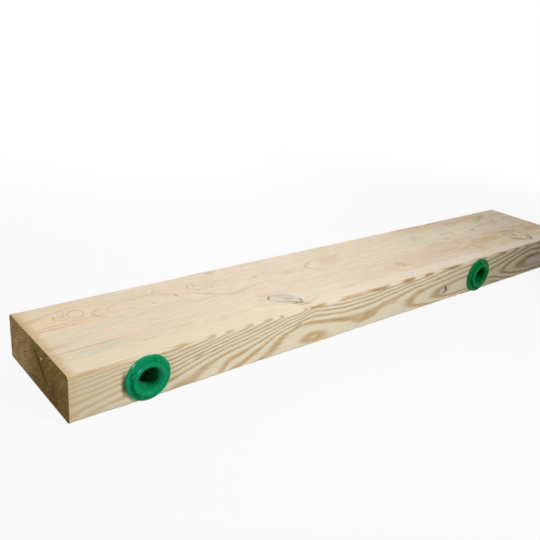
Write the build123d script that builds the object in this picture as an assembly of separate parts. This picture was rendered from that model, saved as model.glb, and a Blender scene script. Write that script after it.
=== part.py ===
"""Treated timber stud with threaded plastic bushings that take levelling screws.

The planed stud lies on a wide face. X runs along it, Y across its width and Z up, and the
origin is the middle of the face that it lies on. The bushings are pushed into the narrow face
towards -Y. Behind each one a narrower hole goes on to the other narrow face, so that the screw
can be turned from there.
"""

import os

from build123d import *

# Stud: planed softwood with eased long edges and square-sawn ends
stud_length = 720.0
stud_width = 123.0
stud_thickness = 42.0
arris_radius = 2.5

# Where the bushings sit, measured from the end towards -X
first_bushing_from_end = 67.0
bushing_spacing = 450.0
sleeve_clearance = 0.1
sleeve_end_gap = 1.0
passage_clearance = 1.0
drill_overrun = 5.0

# Bushing: one moulding of a sleeve, a flange that bears on the stud and a collar round the mouth
sleeve_diameter = 30.0
sleeve_length = 50.0
sleeve_lead_in = 1.5
flange_diameter = 41.0
flange_thickness = 2.2
flange_rim_radius = 0.9
collar_diameter = 30.0
collar_height = 5.5
collar_edge_bevel = 0.5

# Screw thread in the bushing, whose bore wall lies at the thread's crests
thread_diameter = 24.0
thread_pitch = 3.0
thread_crest_depth = 0.5413 * thread_pitch
mouth_relief = 0.2
inner_end_chamfer = 0.8

# Lugs round the collar, which a driving key grips
lug_count = 4
lug_width = 3.4
lug_reach = 2.6
lug_drop = 0.8
lug_shoulder_radius = 1.2
first_lug_angle = 65.0
lug_angle_step = -61.0

sleeve_radius = sleeve_diameter / 2
flange_radius = flange_diameter / 2
collar_radius = collar_diameter / 2
bore_radius = thread_diameter / 2 - thread_crest_depth
mouth_radius = thread_diameter / 2 + mouth_relief
pocket_radius = sleeve_radius + sleeve_clearance
pocket_depth = sleeve_length + sleeve_end_gap
passage_radius = thread_diameter / 2 + passage_clearance


def bushing_seats():
    """The planes on the narrow face where the bushings sit, looking outwards along each axis."""
    room = stud_length - 2 * first_bushing_from_end
    count = int(room // bushing_spacing) + 1
    start = first_bushing_from_end - stud_length / 2
    return [
        Plane(
            origin=(start + i * bushing_spacing, -stud_width / 2, stud_thickness / 2),
            x_dir=(1, 0, 0),
            z_dir=(0, -1, 0),
        )
        for i in range(count)
    ]


def stepped_drill():
    """What is drilled out behind a seat: the sleeve's pocket, and the screw's way on to the far face."""
    from_above = (Align.CENTER, Align.CENTER, Align.MAX)
    pocket = Cylinder(pocket_radius, pocket_depth + drill_overrun, align=from_above)
    passage = Cylinder(passage_radius, stud_width + 2 * drill_overrun, align=from_above)
    return Pos(0, 0, drill_overrun) * (pocket + passage)


def timber_stud(seats):
    """The stud's rounded section carried along its length, drilled at each seat."""
    section = RectangleRounded(stud_width, stud_thickness, arris_radius)
    stud = extrude(Plane.YZ * Pos(0, stud_thickness / 2) * section, stud_length / 2, both=True)
    for seat in seats:
        stud -= seat * stepped_drill()
    return stud


def rounded(face, corner, radius):
    """The face with the corner at the given point rounded."""
    return fillet(face.vertices().sort_by_distance((*corner, 0))[0], radius)


def bushing_body():
    """The bushing's wall as a profile of radius and height above the stud, turned about its axis."""
    mouth_depth = mouth_radius - bore_radius
    outline = Polyline(
        (bore_radius + inner_end_chamfer, -sleeve_length),
        (sleeve_radius - sleeve_lead_in, -sleeve_length),
        (sleeve_radius, sleeve_lead_in - sleeve_length),
        (sleeve_radius, 0),
        (flange_radius, 0),
        (flange_radius, flange_thickness),
        (collar_radius, flange_thickness),
        (collar_radius, collar_height - collar_edge_bevel),
        (collar_radius - collar_edge_bevel, collar_height),
        (mouth_radius, collar_height),
        (bore_radius, collar_height - mouth_depth),
        (bore_radius, inner_end_chamfer - sleeve_length),
        close=True,
    )
    wall = make_face(outline)
    wall = rounded(wall, (flange_radius, flange_thickness), flange_rim_radius)
    return revolve(Plane.XZ * wall, Axis.Z)


def driving_lug():
    """One lug: a block against the collar's side with a rounded shoulder at its top."""
    inside = (mouth_radius + collar_radius) / 2
    outside = collar_radius + lug_reach
    top = collar_height - lug_drop
    side = make_face(
        Polyline(
            (inside, flange_thickness / 2),
            (outside, flange_thickness / 2),
            (outside, top),
            (inside, top),
            close=True,
        )
    )
    side = rounded(side, (outside, top), lug_shoulder_radius)
    return extrude(Plane.XZ * side, lug_width / 2, both=True)


def bushing(seat, lug_angle):
    """A whole bushing on its seat, turned so that its first lug is at the given angle."""
    lugs = PolarLocations(0, lug_count, start_angle=lug_angle) * driving_lug()
    return seat * (bushing_body() + lugs)


def main():
    seats = bushing_seats()
    parts = {"timber_stud": timber_stud(seats)}
    for i, seat in enumerate(seats):
        parts[f"bushing_{i + 1}"] = bushing(seat, first_lug_angle + i * lug_angle_step)
    os.makedirs("parts", exist_ok=True)
    for name, shape in parts.items():
        export_step(shape, f"parts/{name}.step")


main()
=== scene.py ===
"""Treated timber stud with threaded bushings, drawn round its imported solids.

The stud lies on its wide face along X, and the bushings look out of its edge towards -Y.
Lengths in the code are in millimetres, measured on the stud from its near end (X), from the
edge with the bushings (Y) and from the floor (Z), unless a name or docstring says otherwise.
"""

import math

import bpy
import numpy as np
from bpy.props import FloatProperty, FloatVectorProperty, IntProperty, PointerProperty
from mathutils import Matrix, Vector


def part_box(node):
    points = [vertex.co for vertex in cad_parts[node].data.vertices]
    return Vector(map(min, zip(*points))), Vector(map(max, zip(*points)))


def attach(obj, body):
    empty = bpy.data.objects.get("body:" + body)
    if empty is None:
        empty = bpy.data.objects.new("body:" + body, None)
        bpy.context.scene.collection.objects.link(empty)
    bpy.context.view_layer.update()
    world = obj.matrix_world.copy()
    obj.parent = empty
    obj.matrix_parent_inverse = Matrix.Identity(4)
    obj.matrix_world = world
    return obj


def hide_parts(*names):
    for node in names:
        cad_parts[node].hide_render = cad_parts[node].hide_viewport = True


bl_info = {
    "name": "Timber stud with threaded bushings",
    "version": (1, 0, 0),
    "blender": (4, 5, 0),
    "location": "3D View > Sidebar > Timber stud",
    "description": "Makes a treated timber stud, threaded bushings in its edge and a plain stage",
    "category": "Add Mesh",
}

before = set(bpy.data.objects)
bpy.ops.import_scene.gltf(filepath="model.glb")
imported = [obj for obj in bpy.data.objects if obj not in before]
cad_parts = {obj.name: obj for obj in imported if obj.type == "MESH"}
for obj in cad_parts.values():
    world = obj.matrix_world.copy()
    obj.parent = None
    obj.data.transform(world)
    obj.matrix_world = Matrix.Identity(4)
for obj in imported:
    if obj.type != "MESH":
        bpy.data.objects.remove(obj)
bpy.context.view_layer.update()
STUD_LOW, STUD_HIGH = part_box("timber_stud")
MM = 1000.0
SPAN, WIDTH, HEIGHT = (STUD_HIGH - STUD_LOW) * MM
CORNER = np.array([STUD_LOW.x, STUD_LOW.y, 0])


def srgb(red, green, blue):
    """A colour read on a screen, 0 to 255, as the linear values that a shader takes."""
    parts = [c / 255 for c in (red, green, blue)]
    return tuple(c / 12.92 if c < 0.04045 else ((c + 0.055) / 1.055) ** 2.4 for c in parts)


def measure(name, description, default, unit):
    """A number property with a unit."""
    return FloatProperty(
        name=name, description=description, default=default, precision=5, unit=unit
    )


def length(name, description, mm):
    """A length property whose default is given in millimetres."""
    return measure(name, description, mm / MM, "LENGTH")


def angle(name, description, degrees):
    """An angle property whose default is given in degrees."""
    return measure(name, description, math.radians(degrees), "ROTATION")


def watts(name, description, power):
    """A property for the power of a lamp."""
    return measure(name, description, power, "POWER")


def colour(name, description, red, green, blue):
    """A colour property whose default is given as a screen colour."""
    return FloatVectorProperty(
        name=name, description=description, subtype="COLOR",
        default=srgb(red, green, blue), min=0, max=1,
    )


class TimberSettings(bpy.types.PropertyGroup):
    """Sizes and colours of the stud"""

    arris_radius: length("Arris radius", "Rounding of the four long edges", 2.5)
    arris_wear: length("Arris wear", "Deepest uneven wear of the long edges", 0.5)
    planing_depth: length("Planing depth", "Depth of the planer's slow waves", 0.16)
    saw_depth: length("Saw depth", "Depth of the saw's marks on the ends", 0.35)
    end_ease: length("End ease", "Narrow bevel round each sawn end", 0.4)
    row_step: length("Row step", "Longest step between the rows", 1.75)
    pocket_radius: length("Pocket radius", "Radius of the sleeves' holes", 15.1)
    pocket_depth: length("Pocket depth", "Depth of the sleeves' holes", 51)
    passage_radius: length("Passage radius", "Radius of the holes behind the sleeves", 13)
    earlywood: colour("Earlywood", "Pale wood between the rings on the edges", 230, 220, 194)
    latewood: colour("Latewood", "Brown wood of the rings on the edges", 191, 158, 109)
    far_latewood: colour("Far latewood", "Rings on the edges towards the far end", 182, 154, 106)
    wide_face: colour("Wide face", "Pale wood of the wide faces", 234, 220, 199)
    wide_ring: colour("Wide face rings", "Rings on the wide faces", 210, 190, 158)
    end_grain: colour("End grain", "Soaked wood of the sawn ends", 132, 105, 57)
    end_ring: colour("End rings", "Rings on the sawn ends", 96, 68, 29)
    end_pale: colour("Pale end grain", "Drier wood at their back", 208, 175, 122)
    arris_strip: colour("Front strip", "Sapwood beside the front edge", 233, 219, 186)
    sawn_tan: colour("Sawn tan", "Wood tanned beside the sawn ends", 196, 158, 106)
    # painted shade: a darkening of the wood towards the far end, standing in for the light falling
    # off there
    far_shade: colour("Weathered wood", "Tint towards the far end", 207, 201, 196)


class BushingSettings(bpy.types.PropertyGroup):
    """Sizes and colours of the bushings"""

    sleeve_radius: length("Sleeve radius", "Outside of the sleeve in the stud", 15)
    sleeve_lead_in: length("Sleeve lead-in", "Bevel at the sleeve's inner end", 1.5)
    flange_thickness: length("Flange thickness", "Flange that bears on the stud", 2.2)
    rim_radius: length("Rim radius", "Rounding of the flange's rim", 0.9)
    collar_radius: length("Collar radius", "Outside of the collar round the mouth", 15)
    collar_edge: length("Collar edge", "Rounding of the collar's outer edge", 0.7)
    thread_radius: length("Thread radius", "Radius at the thread's roots", 12)
    thread_pitch: length("Thread pitch", "Rise of the thread in one turn", 3)
    mouth_radius: length("Mouth radius", "Radius of the bevelled mouth", 12.2)
    inner_chamfer: length("Inner chamfer", "Bevel at the bore's inner end", 0.8)
    lug_width: length("Lug width", "Width of each driving lug", 3.4)
    lug_reach: length("Lug reach", "How far a lug stands out of the collar", 2.6)
    lug_drop: length("Lug drop", "How far a lug's top lies below the collar's", 0.8)
    lug_shoulder: length("Lug shoulder", "Rounding of a lug's outer edge", 1.2)
    lug_count: IntProperty(
        name="Lugs", description="Driving lugs round the collar", default=4, min=1
    )
    near_lug: angle("Near lug angle", "First lug of the near bushing", 65)
    far_lug: angle("Far lug angle", "First lug of the far bushing", 4)
    green: colour("Green", "Moulded plastic of the near bushing", 6, 142, 92)
    # rubbed plastic and painted sheen: a paler green mottled over the near bushing
    rubbed_sheen: colour("Rubbed green", "Plastic paled by handling", 30, 152, 112)
    # painted shade: a darker green for the far bushing, standing in for the weaker light there
    far_shaded_green: colour("Far green", "Deeper plastic of the far bushing", 0, 122, 60)


class StageSettings(bpy.types.PropertyGroup):
    """Camera, lamps, sky and floor"""

    camera_place: FloatVectorProperty(
        name="Camera place", description="Where the camera stands", subtype="XYZ",
        default=(-0.5264, -0.4748, 0.3118),
    )
    camera_heading: angle("Camera heading", "Turn of the view from +Y towards +X", 40.53)
    camera_dip: angle("Camera dip", "Fall of the view below the horizon", 22.07)
    camera_roll: angle("Camera roll", "Lean of the frame", 4.78)
    camera_lens: measure("Camera lens", "Focal length in millimetres", 44.65, "CAMERA")
    key_power: watts("Key power", "Soft lamp at the upper right", 1.40)
    key_spread: angle("Key spread", "How widely that lamp fans out", 79)
    side_power: watts("Side power", "Small lamp beside the near end", 1.55)
    glint_power: watts("Glint power", "Lamp that only gloss reflects", 230)
    top_power: watts("Top power", "Lamp overhead", 1.1)
    back_power: watts("Back power", "Lamp behind the stud", 6.3)
    sky_level: measure("Sky level", "Light from all round", 0.1, "NONE")
    floor: colour("Floor", "Floor under the stud", 205, 205, 205)


# Figure of the edge with the bushings. Each row holds X, the ring number at the crown, the height
# of the upper knee, the rings per millimetre above it, the softness of that knee, the height of
# the lower knee and the rings per millimetre below it
EDGE_FIGURE = np.array([
    (0, 6.3, 23, 0.3, 6, 23, -0.08), (22, 6.52, 26, 0.29, 8, 26, -0.13),
    (47, 5.19, 24, 0.3, 8, 24, -0.1), (93, 2.5, 10, 0.255, 10, 0, 0),
    (105, 2.6, 15, 0.28, 10, 0, 0), (120, 2.35, 19, 0.33, 9, 0, 0), (135, 2, 21, 0.34, 9, 0, 0),
    (150, 1.2, 21, 0.33, 11, 12, -0.05), (165, 1.05, 20, 0.3, 10, 12, -0.06),
    (185, 0.4, 19, 0.27, 9, 12, -0.06), (200, 0, 20, 0.29, 5, 12, -0.04),
    (212, -0.35, 21, 0.27, 4, 12, -0.01), (225, -0.48, 24, 0.33, 4, 0, 0),
    (234, -0.55, 26, 0.36, 4, 0, 0), (247, -0.55, 25.5, 0.24, 6, 0, 0),
    (265, -0.72, 24, 0.26, 8, 0, 0), (290, -0.9, 22, 0.26, 11, 0, 0),
    (318, -0.18, 24, 0.26, 8, 10, -0.05), (335, -0.25, 24, 0.26, 8, 12, -0.05),
    (345, -0.4, 24, 0.25, 7, 12, -0.03), (359, -0.55, 25, 0.26, 7, 8, 0),
    (374, -0.6, 27, 0.29, 7, 8, 0.03), (394, -1.45, 29, 0.34, 10, 8, 0.15),
    (406, -1.65, 25, 0.27, 8, 7, 0.2), (422, -1.82, 24, 0.235, 8, 7, 0.18),
    (437, -2.2, 20, 0.185, 7, 8, 0.19), (454, -2.65, 17, 0.165, 6, 9, 0.19),
    (474, -2.78, 19, 0.172, 6, 9, 0.2), (494, -2.88, 20, 0.177, 6, 11, 0.2),
    (555, -3.75, 21, 0.16, 5, 14, 0.2), (570, -4.25, 24, 0.2, 8, 12, 0.2),
    (588, -4.75, 22, 0.18, 6, 13, 0.18), (608, -5.2, 24, 0.19, 7, 13, 0.18),
    (628, -5.45, 25, 0.19, 7, 13, 0.18), (660, -5.65, 22, 0.18, 6, 13, 0.2),
    (720, -6.2, 22, 0.17, 7, 13, 0.17),
])

# Marks laid over the grain. Each row holds the place on the face, half the length, half the width,
# the turn in degrees, how soft the outline is, the strength and the screen colour. A place is X and
# Y on the top face, X and Z on the front edge, and Y and Z on the near end
TOP_MARKS = (
    # broad bands of the far third, the middle and the near end
    (590, 112, 100, 11, 0, 0.5, 0.75, (214, 184, 148)),
    (22, 90, 52, 30, 0, 0.8, 0.5, (240, 211, 166)),
    (560, 82, 95, 15, 0, 0.6, 0.7, (230, 222, 204)),
    (690, 84, 40, 18, 0, 0.7, 0.5, (214, 200, 174)),
    (595, 40, 120, 19, 0, 0.5, 0.75, (214, 184, 146)),
    (648, 108, 16, 10, 20, 0.7, 0.55, (212, 176, 150)),
    (694, 45, 26, 10, 0, 0.7, 0.5, (196, 156, 112)),
    (440, 36, 75, 18, 0, 0.7, 0.45, (212, 190, 154)),
    (500, 80, 12, 34, 0, 0.7, 0.4, (200, 198, 170)),
    (346, 87, 17, 11, 10, 0.8, 0.55, (214, 190, 152)),
    (376, 88, 16, 4, 0, 0.7, 0.4, (238, 228, 212)),
    (150, 98, 70, 12, 0, 0.7, 0.35, (226, 204, 174)),
    (8, 46, 12, 3.5, 0, 0.7, 0.45, (200, 164, 112)),
    (8, 98, 12, 3, 8, 0.7, 0.45, (192, 156, 110)),
    # streaks that run in from the near end
    (22, 81.4, 24, 0.9, 1, 0.7, 0.5, (180, 140, 82)),
    (22, 76.4, 26, 0.9, -1, 0.7, 0.5, (180, 140, 82)),
    (32, 35.2, 40, 1.4, 0, 0.7, 0.5, (186, 148, 92)),
    (26, 103.4, 30, 1.1, 13, 0.7, 0.38, (190, 152, 96)),
    (45, 65.4, 34, 2.6, 0, 0.7, 0.8, (214, 218, 194)),
    (36, 51, 18, 1.5, 0, 0.7, 0.55, (214, 214, 188)),
    (42, 27, 36, 3.2, 0, 0.7, 0.8, (210, 210, 186)),
    (13.6, 26, 0.9, 1.6, 0, 0.5, 0.7, (240, 236, 222)),
    (26.6, 24.8, 0.9, 1.4, 0, 0.5, 0.6, (240, 236, 222)),
    # small knots and ticks behind the middle of the near half
    (28.5, 95, 1, 4.2, -4, 0.6, 0.6, (180, 140, 84)),
    (33.4, 88.8, 6.2, 0.8, -31, 0.7, 0.5, (190, 152, 100)),
    (112, 98, 22, 0.9, 4, 0.7, 0.4, (178, 146, 108)),
    (129, 103, 7, 1.2, 50, 0.7, 0.32, (180, 150, 112)),
    (126.5, 104.5, 6, 1.3, 50, 0.7, 0.45, (240, 232, 218)),
    (137, 92, 5, 3, -18, 0.7, 0.45, (200, 166, 122)),
    (144.6, 86.5, 1.4, 4.3, 4, 0.5, 0.62, (170, 126, 86)),
    (118.5, 80.6, 2, 1.4, 40, 0.6, 0.5, (160, 128, 94)),
    (116.6, 86, 0.7, 3, 0, 0.7, 0.35, (180, 150, 114)),
    (164.2, 96.7, 5.8, 0.7, 63, 0.7, 0.45, (160, 132, 100)),
    (174, 96.4, 3.6, 2.8, 0, 0.6, 0.7, (198, 204, 196)),
    (171.4, 97.5, 1.2, 1.8, 20, 0.5, 0.7, (112, 110, 104)),
    (178.2, 95.2, 0.9, 2, -20, 0.6, 0.5, (140, 130, 110)),
    (170, 87, 1.2, 3.6, 40, 0.6, 0.5, (176, 144, 106)),
    (174, 74.5, 18, 1.7, -32, 0.7, 0.5, (192, 154, 112)),
    (200, 62, 9, 3, -8, 0.7, 0.4, (204, 172, 130)),
    (218, 67.5, 20, 1.4, 9, 0.7, 0.4, (194, 160, 116)),
    (240, 85.6, 3.6, 1.7, 10, 0.6, 0.55, (182, 146, 104)),
    (256, 89.6, 8, 0.9, 14, 0.7, 0.4, (190, 160, 122)),
    (248, 70, 11, 1, 0, 0.7, 0.4, (194, 162, 120)),
    (279, 79, 9, 2.6, -6, 0.7, 0.4, (202, 176, 136)),
    (264, 57, 19, 0.9, -1, 0.7, 0.35, (200, 172, 132)),
    (191, 120.6, 9, 1.5, 0, 0.6, 0.65, (136, 128, 118)),
    (204, 116.5, 6, 4, 0, 0.7, 0.55, (176, 172, 132)),
    # main knot with its halo
    (251, 28.5, 10, 4.5, -25, 0.7, 0.85, (222, 227, 216)),
    (276, 27.5, 23, 2.8, 3, 0.7, 0.6, (222, 222, 206)),
    (235, 45.5, 10, 2.6, 0, 0.7, 0.65, (214, 213, 188)),
    (218, 45, 8, 4.6, -40, 0.8, 0.48, (224, 188, 152)),
    (212, 38, 8, 3, 20, 0.7, 0.4, (214, 206, 180)),
    (216, 15, 19, 3.4, -20, 0.7, 0.65, (246, 232, 212)),
    (233, 27.5, 15.5, 9, -38, 0.3, 0.8, (207, 203, 188)),
    (234, 36, 9, 3.2, -22, 0.7, 0.55, (186, 178, 148)),
    (223.6, 34.3, 4.2, 2.6, -50, 0.6, 0.8, (219, 209, 209)),
    (235, 27, 5, 3, -38, 0.7, 0.65, (188, 158, 130)),
    (241, 28, 1.8, 3.4, -30, 0.6, 0.55, (168, 164, 146)),
    (232.5, 20.2, 12.1, 0.9, -31, 0.6, 0.85, (104, 88, 64)),
    (239.5, 14.5, 4.6, 1.5, -12, 0.5, 0.95, (70, 60, 46)),
    (245.2, 18.4, 4.6, 1, 66, 0.6, 0.85, (98, 88, 80)),
    (219, 36.2, 3.6, 1.2, 62, 0.5, 0.95, (92, 68, 48)),
    (222.2, 39, 2.6, 0.9, 15, 0.6, 0.75, (128, 102, 78)),
    (234.6, 14.6, 2.6, 1.2, -31, 0.6, 0.7, (150, 104, 80)),
    (244, 9.4, 6, 2, -5, 0.6, 0.75, (196, 152, 116)),
    # swirl, pointed mark and orange spot
    (320, 79, 8, 3.4, 0, 0.7, 0.6, (236, 226, 208)),
    (362, 91, 3.4, 1.6, 12, 0.6, 0.6, (184, 150, 122)),
    (385, 70, 5, 1.6, 20, 0.7, 0.45, (196, 168, 130)),
    (400, 62, 12, 0.9, -3, 0.7, 0.4, (198, 170, 132)),
    (413, 34.8, 7.4, 8, 0, 0.3, 0.6, (208, 172, 116)),
    (409, 39, 4, 2.2, -30, 0.6, 0.5, (186, 146, 90)),
    (415, 33, 1.6, 4.6, -30, 0.6, 0.45, (190, 152, 98)),
    (477, 58, 0.9, 30, 0, 0.6, 0.45, (176, 158, 124)),
    # far third
    (498, 88, 9, 3, 35, 0.7, 0.65, (182, 184, 124)),
    (492, 70, 14, 6, 10, 0.7, 0.5, (214, 218, 190)),
    (605, 74.6, 4.6, 2.6, 18, 0.6, 0.75, (126, 106, 86)),
    (549, 81.5, 5, 1.8, 20, 0.7, 0.4, (184, 158, 116)),
    (643, 93, 10, 2.4, 18, 0.7, 0.75, (146, 166, 122)),
    (662, 104, 15, 2, 32, 0.7, 0.65, (140, 128, 90)),
    (668, 116, 10, 2, 30, 0.7, 0.5, (206, 196, 190)),
    (640, 33, 12, 11, 0, 0.5, 0.75, (212, 196, 182)),
    (645, 21, 10, 7, -30, 0.5, 0.65, (206, 192, 178)),
    (640, 49, 12, 2.2, 0, 0.7, 0.7, (150, 128, 84)),
    (630, 32, 1.2, 9, 10, 0.7, 0.45, (160, 132, 98)),
    (634, 20, 8, 2.6, -40, 0.7, 0.75, (140, 108, 76)),
    (641.5, 33, 3, 3.6, 0, 0.6, 0.8, (128, 102, 80)),
    (645, 21, 4, 4, 0, 0.6, 0.85, (236, 228, 218)),
    (652, 14, 6, 1.8, 35, 0.6, 0.9, (84, 70, 54)),
    (656, 22, 1.4, 6, -12, 0.6, 0.65, (110, 96, 80)),
)
EDGE_MARKS = (
    # near end, and a painted shadow beside the near flange
    (8, 20, 42, 34, 0, 0.8, 0.4, (214, 194, 150)),
    (46.4, 20.5, 2.6, 10, 0, 0.5, 0.85, (88, 66, 40)),
    # small knot beyond the middle
    (450, 13.5, 12, 4.5, 5, 0.8, 0.5, (168, 144, 116)),
    (450, 14, 3, 3, 0, 0.6, 0.55, (222, 208, 204)),
    (457, 15.6, 2, 3.6, 24, 0.5, 0.9, (92, 76, 74)),
    (456, 12, 5, 1.6, 20, 0.7, 0.5, (120, 98, 86)),
    # streaks and pale patches
    (117, 26, 6, 1.2, 20, 0.7, 0.4, (156, 146, 124)),
    (228, 27, 4.5, 1.8, 10, 0.6, 0.5, (140, 126, 104)),
    (270, 38, 4, 3, 0, 0.6, 0.45, (226, 216, 206)),
    (642, 24.5, 16, 2, -2, 0.6, 0.45, (100, 78, 50)),
    (652, 15, 24, 7, 0, 0.8, 0.7, (232, 218, 210)),
    # brown rubs along the upper arris
    (22, 41, 26, 1.6, 1, 0.6, 0.5, (196, 152, 90)),
    (251, 41, 12, 2, 0, 0.6, 0.55, (176, 136, 80)),
    (342, 40.4, 12, 2.8, 0, 0.5, 0.7, (160, 122, 66)),
    (387, 40.4, 9, 2.8, 0, 0.5, 0.7, (160, 122, 66)),
    (421, 40.4, 7, 2.4, 0, 0.5, 0.65, (160, 122, 66)),
    (468, 40.4, 12, 2.4, 0, 0.5, 0.65, (152, 116, 68)),
)
END_MARKS = (
    # shaded back, dark streak, white chip and the green and brown streaks of the saw
    (104, 38, 26, 8, 0, 0.8, 0.5, (136, 102, 60)),
    (54, 24, 16, 3.4, 41, 0.7, 0.7, (79, 55, 26)),
    (52, 32, 1.5, 0.9, -40, 0.5, 0.9, (236, 226, 204)),
    (66, 38.5, 6, 2.6, -40, 0.7, 0.55, (131, 126, 68)),
    (51, 39, 5, 2.2, -40, 0.7, 0.45, (135, 128, 70)),
    (30, 38, 9, 1.8, -42, 0.7, 0.5, (137, 128, 74)),
    (9, 32, 8, 2, -44, 0.7, 0.4, (153, 140, 90)),
    (30, 13, 5, 9, 0, 0.8, 0.45, (71, 53, 28)),
    (94, 23, 13, 1.6, -28, 0.7, 0.5, (168, 133, 90)),
    (110, 10, 11, 1.4, -48, 0.7, 0.5, (171, 137, 92)),
)

# Thin dark outlines, whose rows hold the line's width as a share of the size, not the softness
TOP_LINES = (
    (233, 27.5, 16.5, 9.6, -38, 0.09, 0.25, (150, 134, 108)),
    (47.8, 94.2, 7.3, 7.3, 0, 0.16, 0.5, (178, 140, 92)),
    (642, 32, 15, 19, 0, 0.32, 0.24, (138, 110, 78)),
    (174, 95, 10, 7.5, -12, 0.16, 0.25, (182, 152, 116)),
)

# Rings that come out on the top face as loops opening away from the near end. Each row holds the
# tip, how sharply the loop is bent, how far it runs, the line's half width, strength and colour
TOP_LOOPS = (
    (36.2, 94.4, 0.090, 5, 0.7, 0.5, (182, 146, 104)),
    (60.5, 85.2, 0.085, 13, 1.5, 0.4, (192, 150, 100)),
    (62.5, 85, 0.080, 30, 1, 0.16, (186, 150, 104)),
    (74.8, 86.7, 0.150, 14, 1.3, 0.36, (192, 158, 116)),
    (186, 84, 0.085, 30, 1, 0.24, (190, 158, 118)),
    (307, 79.3, 0.095, 22, 1.3, 0.6, (200, 158, 112)),
)

# Smaller changes of the wood's tone on the wide faces, the fibres and the ends
TAN_STREAK = srgb(220, 194, 156)
PINK_BLOOM = srgb(236, 216, 198)
YELLOW_BLOOM = srgb(226, 212, 176)
BROWN_FLECK = srgb(204, 172, 130)
PALE_FLECK = srgb(242, 232, 214)
GREEN_SWIRL = srgb(226, 226, 206)
TAN_SWIRL = srgb(208, 172, 136)
FAR_STRIP = srgb(234, 220, 204)
STRIP_LINE = srgb(186, 160, 122)
FIBRE_BROWN = srgb(176, 152, 114)
END_TINT = srgb(118, 105, 59)
END_STREAK = srgb(186, 157, 110)

# How much the shaders reflect, from 0 to 1
WOOD_GLOSS = 0.004
PLASTIC_GLOSS = 0.04

# Depth of a 60 degree thread from root to crest, in pitches, and width of the trunk's rings
CREST_DEPTH = 0.5413
RING_WIDTH = 2.6

# Lamps of the stage, with the place, the target and the size of each in metres
LAMPS = {
    "key": ((0.15, -0.747, 0.648), (-0.175, -0.05, 0.02), 0.2),
    "side": ((-0.80, -0.24, 0.40), (-0.29, -0.06, 0.03), 0.12),
    "glint": ((-0.853, 0.032, 0.58), (-0.29, -0.06, 0.02), 0.3),
    "top": ((-0.40, 0.1, 1.2), (-0.45, 0, 0), 0.7),
    "back": ((0.19, 0.75, 0.5), (-0.06, 0.06, 0.02), 0.5),
}


def eased(value, low, high):
    """Nought below low, one above high and a smooth S between them."""
    t = np.clip((value - low) / (high - low), 0, 1)
    return t * t * (3 - 2 * t)


def knee(t, soft):
    """A ramp that is flat below nought and rises one for one above it, bent over the softness."""
    return 0.5 * (t + np.hypot(t, soft))


def ripple(a, b):
    """A wandering wave between about -1 and 1: the mean of sines of a and b with unlike periods."""
    first = np.sin(a + 1.3 * np.sin(0.61 * b))
    second = np.sin(1.71 * a - 0.83 * b + 2.1)
    third = np.sin(0.43 * a + 1.37 * b + 0.7)
    return (first + second + third) / 3


def figure_along(x):
    """The columns of the edge figure at x: straight runs between the rows, averaged over 8 mm."""
    shifts = np.linspace(-4, 4, 5)
    columns = EDGE_FIGURE.T
    return [np.mean([np.interp(x + d, columns[0], c) for d in shifts], axis=0) for c in columns[1:]]


def edge_rings(x, z):
    """Ring number on the bushings' edge: a crown, a knee above and below it, and one dimple."""
    crown, high, rise, soft, low, fall = figure_along(x)
    rings = crown + rise * knee(z - high, soft) + fall * knee(low - z, 3)
    dimple = np.exp(-(((x - 250) / 17) ** 2) - ((z - 9) / 6.5) ** 2)
    return rings - 0.62 * dimple


def trunk_rings(x, y, z):
    """Ring number round the pith: distance from its bent line over the ring width, less along X."""
    pith_y = 74 + 34 * np.exp(-x / 130)
    pith_z = 10 + 7 * np.tanh((x - 280) / 140)
    return np.hypot(y - pith_y, z - pith_z) / RING_WIDTH - x / 45


def ring_number(x, y, z):
    """Rings in the stud: the trunk's, drawn over to the edge's near it and sunk at two knots."""
    near_edge = 1 - eased(y, 0, 80)
    rings = trunk_rings(x, y, z)
    rings = rings + near_edge * (edge_rings(x, z) - trunk_rings(x, 0 * y, z))
    rings = rings + 0.06 * ripple(x / 17, 0.35 * (y + z)) + 0.03 * ripple(x / 4.1, 0.9 * (y + z))
    for knot_x, knot_y, long, wide in ((232, 27, 34, 17), (642, 26, 36, 20)):
        off = ((x - knot_x) / long) ** 2 + ((y - knot_y) / wide) ** 2 + ((z - 42) / 14) ** 2
        rings = rings - 3 * np.exp(-off)
    return rings


def polyline(corners, counts):
    """Points on straight runs between the corners. Each run has a count and leaves out its end."""
    runs = [np.linspace(a, b, n, endpoint=False) for a, b, n in zip(corners, corners[1:], counts)]
    return np.concatenate(runs)


def marks(breaks, step):
    """Positions from the first break to the last, which divide each run evenly within the step."""
    counts = [max(1, math.ceil((b - a) / step - 1e-6)) for a, b in zip(breaks, breaks[1:])]
    return np.append(polyline(breaks, counts), breaks[-1])


def rounded_side(straight, span, radius, steps):
    """One side of the section, from corner to corner, as distance along it and depth inside it.

    Half of each corner's arc is at either end: along = r - r sin a and depth = r - r cos a.
    """
    a = np.linspace(math.pi / 4, 0, steps, endpoint=False)
    arc_along, arc_depth = radius - radius * np.sin(a), radius - radius * np.cos(a)
    along = np.concatenate([arc_along, straight, span - arc_along[::-1]])
    depth = np.concatenate([arc_depth, 0 * straight, arc_depth[::-1]])
    lean = np.concatenate([a, 0 * straight, -a[::-1]])
    return along, depth, lean


def grid_quads(rows, columns, closed):
    """Corner numbers of a grid's quads. Its last column joins the first where it is closed."""
    spans = columns if closed else columns - 1
    u, v = np.meshgrid(np.arange(rows - 1), np.arange(spans), indexing="ij")
    w = (v + 1) % columns
    here, there = u * columns, (u + 1) * columns
    return np.stack([here + v, here + w, there + w, there + v], -1).reshape(-1, 4)


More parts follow.
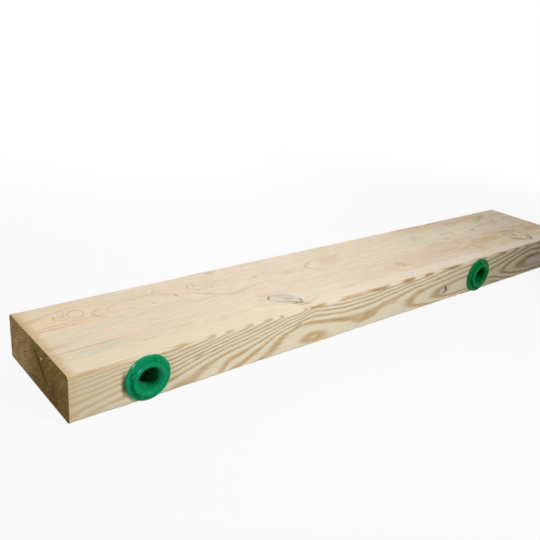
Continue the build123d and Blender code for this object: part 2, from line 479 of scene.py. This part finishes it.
def new_piece(name, points, quads, node, material, sharp):
    """A mesh in place of a CAD node, shaded smooth up to the sharp angle in degrees."""
    used, quads = np.unique(quads, return_inverse=True)
    mesh = bpy.data.meshes.new(name)
    corners = points[used] / MM + CORNER
    mesh.from_pydata(corners.tolist(), [], quads.reshape(-1, 4).tolist())
    if mesh.validate():
        raise RuntimeError(f"{name} has faults in its mesh")
    mesh.shade_smooth()
    mesh.set_sharp_from_angle(angle=math.radians(sharp))
    mesh.materials.append(material)
    piece = bpy.data.objects.new(name, mesh)
    bpy.context.scene.collection.objects.link(piece)
    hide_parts(node)
    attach(piece, "root")
    return piece, used


def bushing_centres():
    """Distance of each bushing's axis from the near end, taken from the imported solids."""
    boxes = [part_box("bushing_1"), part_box("bushing_2")]
    return [(low.x + high.x) / 2 * MM - STUD_LOW.x * MM for low, high in boxes]


def stud_surface(s):
    """Points and quads of the stud: a rounded section carried along it, with holes and ends.

    A point is the section's own, moved inwards by the planer's waves and the wear of the arrises.
    Round a hole a square of side 2 S is drawn in: a point at the larger offset m from the axis
    moves (S - m) / (S - M) of the way to the circle, and the cells nearer than M are left out.
    A tube of rings joins the two mouths of a hole, and each end is a patch between its four sides.
    """
    radius, ease, step = s.arris_radius * MM, s.end_ease * MM, s.row_step * MM
    pocket, passage, deep = s.pocket_radius * MM, s.passage_radius * MM, s.pocket_depth * MM
    outer, inner = 17.0, 12.0  # S and M round a hole
    edge_step, wide_step, arc_steps, slack = 1.5, 2.1, 3, 0.01
    axis = HEIGHT / 2
    centres = bushing_centres()
    around = [c + d for c in centres for d in (-outer, -inner, inner, outer)]
    x = np.concatenate([[0], marks([ease, *around, SPAN - ease], step), [SPAN]])
    edge_breaks = [radius, axis - outer, axis - inner, axis + inner, axis + outer, HEIGHT - radius]
    edge = rounded_side(marks(edge_breaks, edge_step), HEIGHT, radius, arc_steps)
    wide = rounded_side(marks([radius, WIDTH - radius], wide_step), WIDTH, radius, arc_steps)
    n_edge, n_wide = len(edge[0]) - 1, len(wide[0]) - 1

    along, depth, lean = wide
    below = np.stack([along, depth])[:, :-1]
    above = np.stack([WIDTH - along, HEIGHT - depth])[:, :-1]
    wide_lean = lean[:-1]
    along, depth, lean = edge
    behind = np.stack([WIDTH - depth, along])[:, :-1]
    front = np.stack([depth, HEIGHT - along])[:, :-1]
    edge_lean = lean[:-1]
    y, z = np.concatenate([below, behind, above, front], axis=1)
    turn = np.concatenate([
        -math.pi / 2 - wide_lean, -edge_lean, math.pi / 2 - wide_lean, math.pi - edge_lean
    ])
    out_y, out_z = np.cos(turn), np.sin(turn)
    corner = np.concatenate([wide_lean, edge_lean, wide_lean, edge_lean])
    wear = np.sin(np.abs(corner) * 2) ** 2

    columns = len(y)
    X = np.repeat(x[:, None], columns, axis=1)
    nearest = np.min([np.abs(x - c) for c in centres], axis=0)
    free = eased(nearest, outer + 4, 2 * outer)[:, None]
    wave = 0.5 + 0.5 * ripple(X / 23, 0.05 * np.arange(columns))
    worn = np.clip(0.45 + 0.55 * ripple(X / 11, 2.1 * np.floor(turn / 1.6)), 0, 1)
    sunk = free * (s.planing_depth * wave + s.arris_wear * wear * worn) * MM
    sunk[[0, -1]] += ease
    Y = y - out_y * sunk
    Z = z - out_z * sunk
    quads = grid_quads(len(x), columns, True)

    ring_columns = np.arange(n_edge + 1)
    front_column = (2 * n_wide + n_edge + ring_columns[::-1]) % columns
    back_column = n_wide + ring_columns
    rising = edge[0]
    drop = np.zeros(len(quads), bool)
    tubes, extra = [], []
    made = X.size
    core = np.array([-inner, inner]) - slack
    depths = np.array([2, 26, deep, deep, 75, 99, 121])[:, None]
    radii = np.repeat([pocket, passage], [3, 4])[:, None]
    for c in centres:
        u0, u1 = np.searchsorted(x, c + core)
        k0, k1 = np.searchsorted(rising, axis + core)
        walk = [(u0, k0), (u1, k0), (u1, k1), (u0, k1), (u0, k0)]
        us, ks = np.rint(polyline(walk, [u1 - u0, k1 - k0] * 2)).astype(int).T
        for column, hole in ((front_column, pocket), (back_column, passage)):
            across, up = np.meshgrid(x - c, rising - axis, indexing="ij")
            m = np.maximum(np.abs(across), np.abs(up))
            far = np.maximum(np.hypot(across, up), 1e-6)
            pull = np.clip((outer - m) / (outer - inner), 0, 1)
            X[:, column] += pull * (hole / far - 1) * across
            Z[:, column] += pull * (hole / far - 1) * up
            cut = np.zeros((len(x), columns), bool)
            cut[u0:u1 + 1, column[k0:k1 + 1]] = True
            drop |= cut.ravel()[quads].all(axis=1)
        across, up = x[us] - c, rising[ks] - axis
        far = np.hypot(across, up)
        ring = np.stack(np.broadcast_arrays(
            c + radii * across / far, depths, axis + radii * up / far
        ), -1)
        numbers = made + np.arange(ring.size // 3).reshape(ring.shape[:2])
        mouths = [us * columns + column[ks] for column in (front_column, back_column)]
        numbers = np.vstack([mouths[0], numbers, mouths[1]])
        tubes.append(numbers.ravel()[grid_quads(*numbers.shape, True)])
        extra.append(ring.reshape(-1, 3))
        made += len(extra[-1])

    for row, sign in ((0, 1), (len(x) - 1, -1)):
        low = np.arange(n_wide + 1)
        high = (2 * n_wide + n_edge - low) % columns
        i, j = np.meshgrid(np.arange(n_wide + 1), ring_columns, indexing="ij")
        a, b = wide[0][i] / WIDTH, edge[0][j] / HEIGHT
        ends = []
        for grid in (Y, Z):
            g = grid[row]
            flat = (1 - b) * g[low[i]] + b * g[high[i]]
            flat += (1 - a) * g[front_column[j]] + a * g[back_column[j]]
            flat -= (1 - a) * (1 - b) * g[low[0]] + a * (1 - b) * g[low[-1]]
            flat -= (1 - a) * b * g[high[0]] + a * b * g[high[-1]]
            ends.append(flat)
        saw = 0.5 + 0.3 * np.sin(2.3 * ends[1] + 0.5 * ends[0] + 0.9 * np.sin(ends[0] / 14))
        saw = saw + 0.2 * ripple(ends[0] / 3.0, ends[1] / 2.2)
        inside = eased(np.minimum(np.minimum(i, n_wide - i), np.minimum(j, n_edge - j)), 0, 4)
        face = np.stack([X[row, 0] + sign * s.saw_depth * MM * saw * inside, *ends], -1)
        numbers = made + np.arange(i.size).reshape(i.shape)
        numbers[:, 0] = row * columns + low
        numbers[:, -1] = row * columns + high
        numbers[0, :] = row * columns + front_column
        numbers[-1, :] = row * columns + back_column
        cap = numbers.ravel()[grid_quads(*numbers.shape, False)]
        tubes.append(cap if sign < 0 else cap[:, ::-1])
        extra.append(face.reshape(-1, 3))
        made += len(extra[-1])

    points = np.concatenate([np.stack([X, Y, Z], -1).reshape(-1, 3), *extra])
    return points, np.concatenate([quads[~drop], *tubes])


def corner_arc(centre, radius, count):
    """A quarter arc of radius and height about its centre, from straight up to straight out."""
    a = np.linspace(math.pi / 2, 0, count, endpoint=False)
    return np.stack([centre[0] + radius * np.cos(a), centre[1] + radius * np.sin(a)], -1)


def bushing_surface(s, top, foot, centre, rim, first_lug):
    """Points and quads of a bushing: a closed profile of radius and height carried round its axis.

    The bore's radius is the thread's, a ramp between crest and root of the phase height / pitch -
    angle / turn, or the mouth's and inner end's bevels where they are wider. Outside, the plain
    profile and the one through a lug are mixed by the angle from the nearest lug.
    """
    pitch, root = s.thread_pitch * MM, s.thread_radius * MM
    crest = root - CREST_DEPTH * pitch
    mouth, chamfer = s.mouth_radius * MM, s.inner_chamfer * MM
    flange, rim_arc = s.flange_thickness * MM, s.rim_radius * MM
    collar, edge, sleeve = s.collar_radius * MM, s.collar_edge * MM, s.sleeve_radius * MM
    lug_top, lug_out = top - s.lug_drop * MM, (s.collar_radius + s.lug_reach) * MM
    shoulder = s.lug_shoulder * MM

    half = s.lug_width * MM / (collar + lug_out)
    blur = 0.15 / collar
    sector = math.pi / s.lug_count
    turns = [-sector, -half - blur, -half + blur, half - blur, half + blur, sector]
    quarter = polyline(turns, [22, 4, 7, 4, 22])
    lug_angles = first_lug + 2 * sector * np.arange(s.lug_count)
    around = (lug_angles[:, None] + quarter).ravel()
    in_lug = np.tile(1 - eased(np.abs(quarter), half - blur, half + blur), s.lug_count)

    mouth_depth, bore_rows, mouth_rows = 5, 190, 34
    heights = np.concatenate([
        np.linspace(foot, top - mouth_depth, bore_rows, endpoint=False),
        np.linspace(top - mouth_depth, top, mouth_rows),
    ])
    phase = (heights[:, None] / pitch - around / (2 * math.pi)) % 1
    off_root = np.abs(phase - 0.5) * pitch
    thread = root - np.clip((off_root - pitch / 16) * math.sqrt(3), 0, root - crest)
    bevels = np.maximum(mouth - (top - heights), crest + chamfer - (heights - foot))
    bore = np.maximum(thread, bevels[:, None])

    lead = s.sleeve_lead_in * MM
    lip_rows, edge_rows, wall_rows = 3, 7, [18, 6]
    rim_start = (rim - rim_arc, flange)
    outside = np.concatenate([
        polyline([(mouth, top), (collar - edge, top)], [lip_rows + 1])[1:],
        corner_arc((collar - edge, top - edge), edge, edge_rows),
        polyline([(collar, top - edge), (collar, flange), rim_start], wall_rows),
        corner_arc((rim - rim_arc, flange - rim_arc), rim_arc, 8),
        polyline([(rim, flange - rim_arc), (rim, 0), (sleeve, 0), (sleeve, foot + lead),
                  (sleeve - lead, foot), (crest + chamfer, foot)], [2, 3, 4, 2, 3]),
    ])
    through_lug = outside.copy()
    first = lip_rows + edge_rows
    through_lug[first:first + sum(wall_rows)] = np.concatenate([
        polyline([(collar, top - edge), (collar, lug_top), (lug_out - shoulder, lug_top)], [2, 4]),
        corner_arc((lug_out - shoulder, lug_top - shoulder), shoulder, 8),
        polyline([(lug_out, lug_top - shoulder), (lug_out, flange), rim_start], [4, 6]),
    ])
    mixed = outside[:, None] + in_lug[:, None] * (through_lug - outside)[:, None]

    radius = np.concatenate([bore, mixed[..., 0]])
    height = np.concatenate([np.repeat(heights[:, None], len(around), axis=1), mixed[..., 1]])
    across, up = radius * np.cos(around), radius * np.sin(around)
    points = np.stack([centre + across, -height, STUD_HIGH.z * MM / 2 + up], -1)
    numbers = np.arange(radius.size).reshape(radius.shape)
    closed = np.vstack([numbers, numbers[:1]])
    return points.reshape(-1, 3), closed.ravel()[grid_quads(*closed.shape, True)]


class Wire:
    """An output socket of a node tree, which arithmetic joins to Math nodes."""

    def __init__(self, socket):
        self.socket = socket

    def node(self, kind, settings, sockets, output=0):
        """An output of a new node in this wire's tree."""
        return make_node(self.socket.id_data, kind, settings, sockets, output)

    def math(self, operation, *operands):
        """A Math node with the given operands."""
        return self.node("ShaderNodeMath", {"operation": operation}, dict(enumerate(operands)))

    def vector(self, operation, *operands, output=0):
        """A Vector Math node with this wire as its first operand."""
        sockets = dict(enumerate((self, *operands)))
        return self.node("ShaderNodeVectorMath", {"operation": operation}, sockets, output)

    def __add__(self, other):
        return self.math("ADD", self, other)

    __radd__ = __add__

    def __sub__(self, other):
        return self.math("SUBTRACT", self, other)

    def __rsub__(self, other):
        return self.math("SUBTRACT", other, self)

    def __mul__(self, other):
        return self.math("MULTIPLY", self, other)

    __rmul__ = __mul__

    def __truediv__(self, other):
        return self.math("DIVIDE", self, other)

    def __pow__(self, other):
        return self.math("POWER", self, other)

    def ramp(self, low, high, first=0.0, last=1.0):
        """The first value below low, the last above high and a smooth S between them."""
        sockets = {0: self, 1: low, 2: high, 3: first, 4: last}
        return self.node("ShaderNodeMapRange", {"interpolation_type": "SMOOTHSTEP"}, sockets)

    def absolute(self):
        return self.math("ABSOLUTE", self)

    def fraction(self):
        return self.math("FRACT", self)

    def most(self, other):
        return self.math("MAXIMUM", self, other)

    def mix(self, first, second, blend="MIX"):
        """The first colour where this wire is nought, the second or their blend where it is one."""
        return self.node(
            "ShaderNodeMix", {"data_type": "RGBA", "blend_type": blend, "clamp_factor": True},
            {0: self, 6: first, 7: second}, 2,
        )

    def parts(self):
        """The three parts of this vector."""
        split = self.node("ShaderNodeSeparateXYZ", {}, {0: self}).socket.node
        return [Wire(socket) for socket in split.outputs]

    def joined(self, second, third):
        """A vector with this wire as its first part."""
        return self.node("ShaderNodeCombineXYZ", {}, {0: self, 1: second, 2: third})

    def noise(self, scale, detail=2.0, rough=0.5, warp=0.0, output=0):
        """A cloud of values about one half at this vector, whose parts are scaled first."""
        sockets = {
            "Vector": self.vector("MULTIPLY", scale), "Scale": 1.0,
            "Detail": detail, "Roughness": rough, "Distortion": warp,
        }
        return self.node("ShaderNodeTexNoise", {}, sockets, output)


def make_node(tree, kind, settings, sockets, output=0):
    """A new node with its settings, then its sockets, given as wires, colours or numbers."""
    node = tree.nodes.new(kind)
    for name, value in settings.items():
        setattr(node, name, value)
    for name, value in sockets.items():
        socket = node.inputs[name]
        if isinstance(value, Wire):
            tree.links.new(value.socket, socket)
        elif socket.type == "RGBA":
            socket.default_value = (*tuple(value)[:3], 1)
        else:
            socket.default_value = value
    return Wire(node.outputs[output])


def blank_material(name):
    """A new material, its node tree, its shader and its Object coordinates in millimetres."""
    material = bpy.data.materials.new(name)
    material.use_nodes = True
    tree = material.node_tree
    shader = next(n for n in tree.nodes if n.type == "BSDF_PRINCIPLED")
    place = make_node(tree, "ShaderNodeTexCoord", {}, {}, "Object").vector("MULTIPLY", (MM, MM, MM))
    return material, tree, shader, place


def connect(tree, wire, socket):
    """Join a wire to a socket that a new tree already has."""
    tree.links.new(wire.socket, socket)


def dress(tree, shader, tone, rough, height, strength, gloss):
    """Give a shader its colour, its roughness, a bump of the height and its gloss."""
    bump = height.node(
        "ShaderNodeBump", {}, {"Strength": strength, "Distance": 0.0002, "Height": height}
    )
    for name, wire in (("Base Color", tone), ("Roughness", rough), ("Normal", bump)):
        connect(tree, wire, shader.inputs[name])
    shader.inputs["Specular IOR Level"].default_value = gloss


def layered(wood, *layers):
    """The wood with tones laid over it one after another, each where its own wire says."""
    for share, tone in layers:
        wood = share.mix(wood, tone)
    return wood


def reach(flat, a, b, half_long, half_wide, turn):
    """Distance on a face from the centre of a turned ellipse, one on its outline."""
    if turn:
        flat = flat.node(
            "ShaderNodeVectorRotate", {"rotation_type": "Z_AXIS"},
            {"Vector": flat, "Center": (a, b, 0), "Angle": math.radians(-turn)},
        )
    scale, start = (1 / half_long, 1 / half_wide, 0), (-a / half_long, -b / half_wide, 0)
    return flat.vector("MULTIPLY_ADD", scale, start).vector("LENGTH", output="Value")


def painted(wood, flat, rows, lines=False):
    """The wood with soft elliptic marks, or only their outlines, laid over it one after another."""
    for a, b, half_long, half_wide, turn, soft, strength, shade in rows:
        out = reach(flat, a, b, half_long, half_wide, turn)
        low, high = 1 - soft, 1 + soft
        if lines:
            out, low, high = (out - 1).absolute(), 0.2 * soft, soft
        wood = out.ramp(low, high, strength, 0).mix(wood, srgb(*shade))
    return wood


def looped(wood, flat, rows):
    """The wood with loops drawn over it: along = tip + bend times the distance across squared."""
    along, across = flat.parts()[:2]
    for a, b, bend, run, half, strength, shade in rows:
        ahead, side = along - a, across - b
        slope = (side * side * (4 * bend * bend) + 1) ** 0.5
        off = (ahead - side * side * bend) / slope
        line = off.absolute().ramp(0.2 * half, 1.6 * half, strength, 0)
        wood = (line * ahead.ramp(0.4 * run, run, 1, 0)).mix(wood, srgb(*shade))
    return wood


def timber_material(s):
    """Planed softwood: rings from the surface's own ring numbers, drawn in pale and brown wood.

    Late wood starts sharply and fades out over each ring. The edges, the wide faces and the ends
    have their own colours, and listed marks lie over the grain of the faces.
    """
    material, tree, shader, place = blank_material("treated_timber")
    place = place.vector("ADD", tuple(-CORNER * MM))
    x, y, z = place.parts()

    rings = make_node(tree, "ShaderNodeAttribute", {"attribute_name": "rings"}, {}, "Fac")
    fibre = place.noise((0.02, 0.8, 0.8), 3.0, 0.6)
    thread = place.noise((0.045, 3.2, 3.2), 2.0, 0.6)
    mottle = place.noise((0.05, 0.12, 0.12), 3.0, 0.55)
    streak = place.noise((0.008, 0.16, 0.16))
    fleck = place.noise((0.055, 1.0, 1.0), 3.0, 0.65)
    bloom = place.noise((0.022, 0.06, 0.06), 3.0, 0.6)
    swirl = place.noise((0.028, 0.09, 0.09), 4.0, 0.65, 1.2)
    rough = (place.noise((0.22, 0.3, 0.3), 3.0, 0.6) - 0.5) * 0.7

    ragged = rings + (fibre - 0.5) * 0.34 + (thread - 0.5) * 0.26
    turn = (ragged + 0.42).fraction()
    late = turn.ramp(0.18, 0.40) * turn.ramp(0.50, 0.90, 1, 0)

    edge_face = (1 - y.ramp(0.9, 2.6)).most(y.ramp(WIDTH - 2.6, WIDTH - 0.9))
    near_end = 1 - x.ramp(0.25, 0.7)
    end_face = near_end.most(x.ramp(SPAN - 0.7, SPAN - 0.25))
    top_face = z.ramp(HEIGHT - 2.0, HEIGHT - 0.6)
    front_face = 1 - y.ramp(0.6, 2.4)

    # the marks' outlines are shaken by up to about 2 mm
    shaken = place.noise((0.25, 0.35, 0.35), 3.0, output="Color")
    shaken = shaken.vector("MULTIPLY_ADD", (4, 3, 3), place).vector("SUBTRACT", (2, 1.5, 1.5))
    u, v, w = shaken.parts()
    on_top, on_front, on_end = u.joined(v, 0.0), u.joined(w, 0.0), v.joined(w, 0.0)

    depth = mottle.ramp(0.2, 0.8) * 0.45 + 0.57
    edge_late = late * depth * (x.ramp(20, 90, 0.7, 1) + x.ramp(470, 600, 0, 0.25))
    edge_tone = x.ramp(430, 600).mix(s.latewood, s.far_latewood)
    edge_colour = edge_late.mix(s.earlywood, edge_tone)
    edge_colour = front_face.mix(edge_colour, painted(edge_colour, on_front, EDGE_MARKS))

    swirled = x.ramp(430, 560)
    # the strip beside the front edge is narrower in front of the main knot
    narrowed = x.ramp(180, 236) * (1 - x.ramp(240, 282))
    strip = 22.3 - 0.0095 * x - 12.5 * narrowed - y + rough * 4
    strip_line = 1 - (strip + 0.6).absolute().ramp(0.2, 1.6)
    wide_colour = layered(
        (late * 0.16 * depth).mix(s.wide_face, s.wide_ring),
        (streak.ramp(0.45, 0.75) * 0.4, TAN_STREAK),
        (bloom.ramp(0.46, 0.66) * 0.5, PINK_BLOOM),
        (bloom.ramp(0.36, 0.48, 1, 0) * 0.4, YELLOW_BLOOM),
        (fleck.ramp(0.50, 0.68) * 0.38, BROWN_FLECK),
        (fleck.ramp(0.32, 0.48, 1, 0) * 0.38, PALE_FLECK),
        (swirled * swirl.ramp(0.50, 0.62) * 0.55, GREEN_SWIRL),
        (swirled * swirl.ramp(0.38, 0.50, 1, 0) * 0.50, TAN_SWIRL),
        (strip.ramp(-1.2, 1.2) * 0.65, x.ramp(150, 330).mix(s.arris_strip, FAR_STRIP)),
        (strip_line * 0.25 * mottle.ramp(0.35, 0.6), STRIP_LINE),
    )
    marked = painted(wide_colour, on_top, TOP_MARKS)
    marked = painted(marked, on_top, TOP_LINES, lines=True)
    marked = looped(marked, on_top, TOP_LOOPS)
    broken = fleck.ramp(0.3, 0.6, 1.0, 0.6) * (1 - 0.45 * swirled * swirl.ramp(0.42, 0.60))
    wide_colour = (top_face * broken).mix(wide_colour, marked)

    fibres = thread.ramp(0.35, 0.75) * 0.20 + fibre.ramp(0.4, 0.8) * 0.12
    tanned = 1 - (x + rough * 14).ramp(0, 11)
    far = (x + rough * 40).ramp(390, 640)
    wood = layered(
        edge_face.mix(wide_colour, edge_colour),
        (fibres, FIBRE_BROWN),
        (tanned * (0.65 - 0.4 * edge_face), s.sawn_tan),
    )
    # painted shade: the wood darkens towards the far end, most on the edges, in place of the light
    # falling off
    wood = (far * (0.05 + 0.58 * edge_face)).mix(wood, s.far_shade, "MULTIPLY")

    # the saw's streaks lean by 40 degrees, and the rings show as arcs round the pith
    sawn_place = (y * -0.766 + z * 0.643).joined(y * 0.643 + z * 0.766, x)
    sawn = sawn_place.noise((0.09, 0.95, 0.4), 4.0, 0.62, 0.6)
    tint = sawn_place.noise((0.05, 0.14, 0.2))
    arcs = reach(on_end, 76, -6, RING_WIDTH, RING_WIDTH, 0).fraction()
    arc_late = arcs.ramp(0.15, 0.55) * arcs.ramp(0.65, 1.0, 1, 0)
    at_back = y.ramp(55, 85)
    end_colour = layered(
        (y + rough * 30).ramp(58, 96).mix(s.end_grain, s.end_pale),
        (tint.ramp(0.42, 0.62) * 0.5, END_TINT),
        (arc_late * (0.15 + 0.40 * at_back), s.end_ring),
        (sawn.ramp(0.42, 0.68) * (0.50 - 0.28 * at_back), s.end_ring),
        (sawn.ramp(0.30, 0.50, 1, 0) * (0.40 - 0.22 * at_back), END_STREAK),
    )
    end_colour = near_end.mix(end_colour, painted(end_colour, on_end, END_MARKS))

    wood = end_face.mix(wood, end_colour)
    roughness = late * -0.08 + 0.72 + (mottle - 0.5) * 0.1
    dress(tree, shader, wood, roughness, late * 0.5 + thread * 0.5, 0.35, WOOD_GLOSS)
    return material


def plastic_material(s):
    """Glossy moulded plastic with a faint orange-peel surface, the near one mottled paler by
    rubbing and painted sheen, the far one darker by painted shade.
    """
    material, tree, shader, place = blank_material("green_plastic")
    cloud = place.noise((0.12, 0.12, 0.12), 3.0, 0.6)
    grain = place.noise((1.6, 1.6, 1.6))
    # the bushings stand on either side of this run of X
    near = place.parts()[0].ramp(-100, 0, 1, 0)
    # a pale mottle on the near bushing: rubbed plastic and painted sheen
    rubbed_sheen = near * (cloud.ramp(0.45, 0.7) * 0.35 + grain.ramp(0.5, 0.75) * 0.25)
    # the far bushing takes the darker green, which is painted shade
    green = rubbed_sheen.mix(near.mix(s.far_shaded_green, s.green), s.rubbed_sheen)
    roughness = 0.11 + cloud * 0.08 + grain * 0.04
    dress(tree, shader, green, roughness, grain, 0.12, PLASTIC_GLOSS)
    return material


class STUD_OT_make_timber(bpy.types.Operator):
    """Make the planed stud with its drilled holes"""

    bl_idname = "stud.make_timber"
    bl_label = "Make timber"

    def execute(self, context):
        s = context.scene.stud_timber
        points, quads = stud_surface(s)
        material = timber_material(s)
        piece, used = new_piece(
            "planed_stud", points, quads, "timber_stud", material, sharp=38
        )
        rings = piece.data.attributes.new("rings", "FLOAT", "POINT")
        rings.data.foreach_set("value", ring_number(*points[used].T).astype(np.float32))
        return {"FINISHED"}


class STUD_OT_make_bushings(bpy.types.Operator):
    """Make the threaded bushings in the stud's edge"""

    bl_idname = "stud.make_bushings"
    bl_label = "Make bushings"

    def execute(self, context):
        s = context.scene.stud_bushings
        material = plastic_material(s)
        for node, name, first_lug in (
            ("bushing_1", "threaded_bushing_near", s.near_lug),
            ("bushing_2", "threaded_bushing_far", s.far_lug),
        ):
            low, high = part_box(node)
            centre = ((low.x + high.x) / 2 - STUD_LOW.x) * MM
            rim = (high.x - low.x) / 2 * MM
            top, foot = (STUD_LOW.y - low.y) * MM, (STUD_LOW.y - high.y) * MM
            points, quads = bushing_surface(s, top, foot, centre, rim, first_lug)
            new_piece(name, points, quads, node, material, sharp=40)
        return {"FINISHED"}


def area_lamp(name, place, target, size, power):
    """A square soft lamp at a place, looking at a target."""
    data = bpy.data.lights.new(name, "AREA")
    data.size, data.energy, data.spread = size, power, math.pi
    lamp = bpy.data.objects.new(name, data)
    lamp.location = place
    lamp.rotation_euler = (Vector(target) - Vector(place)).to_track_quat("-Z", "Y").to_euler()
    bpy.context.scene.collection.objects.link(lamp)
    return lamp


def seen_directly(tree):
    """One for camera, reflected and transmitted rays, nought for scattered light."""
    camera, glossy, transmitted = (
        make_node(tree, "ShaderNodeLightPath", {}, {}, name)
        for name in ("Is Camera Ray", "Is Glossy Ray", "Is Transmission Ray")
    )
    return camera.most(glossy).most(transmitted)


class STUD_OT_set_stage(bpy.types.Operator):
    """Set the camera, the lamps, the sky and the floor"""

    bl_idname = "stud.set_stage"
    bl_label = "Set stage"

    def execute(self, context):
        s = context.scene.stud_stage
        scene = context.scene
        scene.view_settings.view_transform = "Standard"

        data = bpy.data.cameras.new("stage_camera")
        data.lens, data.sensor_width = s.camera_lens, 36
        data.clip_start, data.clip_end = 0.01, 50
        camera = bpy.data.objects.new("stage_camera", data)
        heading = Matrix.Rotation(-s.camera_heading, 4, "Z")
        dip = Matrix.Rotation(math.pi / 2 - s.camera_dip, 4, "X")
        roll = Matrix.Rotation(s.camera_roll, 4, "Z")
        camera.matrix_world = Matrix.Translation(s.camera_place) @ heading @ dip @ roll
        scene.collection.objects.link(camera)
        scene.camera = camera

        lamps = {
            name: area_lamp(f"stage_{name}", *row, getattr(s, f"{name}_power"))
            for name, row in LAMPS.items()
        }
        lamps["key"].data.spread = s.key_spread
        lamps["glint"].visible_diffuse = False

        world = bpy.data.worlds.new("stage_sky")
        scene.world = world
        world.use_nodes = True
        tree = world.node_tree
        background = next(n for n in tree.nodes if n.type == "BACKGROUND")
        direct = seen_directly(tree)
        connect(tree, direct + (1 - direct) * s.sky_level, background.inputs["Strength"])
        background.inputs["Color"].default_value = (1, 1, 1, 1)

        mesh = bpy.data.meshes.new("stage_floor")
        side = 6.0
        corners = [(-side, -side, 0), (side, -side, 0), (side, side, 0), (-side, side, 0)]
        mesh.from_pydata(corners, [], [(0, 1, 2, 3)])
        floor = bpy.data.objects.new("stage_floor", mesh)
        scene.collection.objects.link(floor)
        material, tree, shader, place = blank_material("stage_floor")
        shader.inputs["Base Color"].default_value = (*s.floor, 1)
        shader.inputs["Roughness"].default_value = 0.9
        shader.inputs["Specular IOR Level"].default_value = 0
        glow = make_node(tree, "ShaderNodeEmission", {}, {"Color": (1, 1, 1), "Strength": 1.0})
        output = next(n for n in tree.nodes if n.type == "OUTPUT_MATERIAL")
        away = place.vector("LENGTH", output="Value")
        shown = seen_directly(tree) * (0.90 + 0.10 * away.ramp(450, 900))
        both = glow.node("ShaderNodeMixShader", {}, {0: shown, 1: Wire(shader.outputs[0]), 2: glow})
        connect(tree, both, output.inputs["Surface"])
        mesh.materials.append(material)
        return {"FINISHED"}


class STUD_PT_panel(bpy.types.Panel):
    """Sidebar panel with the settings and buttons"""

    bl_idname = "STUD_PT_panel"
    bl_label = "Timber stud"
    bl_space_type = "VIEW_3D"
    bl_region_type = "UI"
    bl_category = "Timber stud"

    def draw(self, context):
        for settings, operator in (
            (context.scene.stud_timber, STUD_OT_make_timber),
            (context.scene.stud_bushings, STUD_OT_make_bushings),
            (context.scene.stud_stage, STUD_OT_set_stage),
        ):
            box = self.layout.box()
            for name in settings.__annotations__:
                box.prop(settings, name)
            box.operator(operator.bl_idname)


CLASSES = (
    TimberSettings, BushingSettings, StageSettings,
    STUD_OT_make_timber, STUD_OT_make_bushings, STUD_OT_set_stage, STUD_PT_panel,
)


def register():
    for cls in CLASSES:
        bpy.utils.register_class(cls)
    bpy.types.Scene.stud_timber = PointerProperty(type=TimberSettings)
    bpy.types.Scene.stud_bushings = PointerProperty(type=BushingSettings)
    bpy.types.Scene.stud_stage = PointerProperty(type=StageSettings)


def unregister():
    del bpy.types.Scene.stud_timber, bpy.types.Scene.stud_bushings, bpy.types.Scene.stud_stage
    for cls in reversed(CLASSES):
        bpy.utils.unregister_class(cls)


def main():
    register()
    bpy.ops.stud.set_stage()
    bpy.ops.stud.make_timber()
    bpy.ops.stud.make_bushings()


if __name__ == "__main__":
    main()
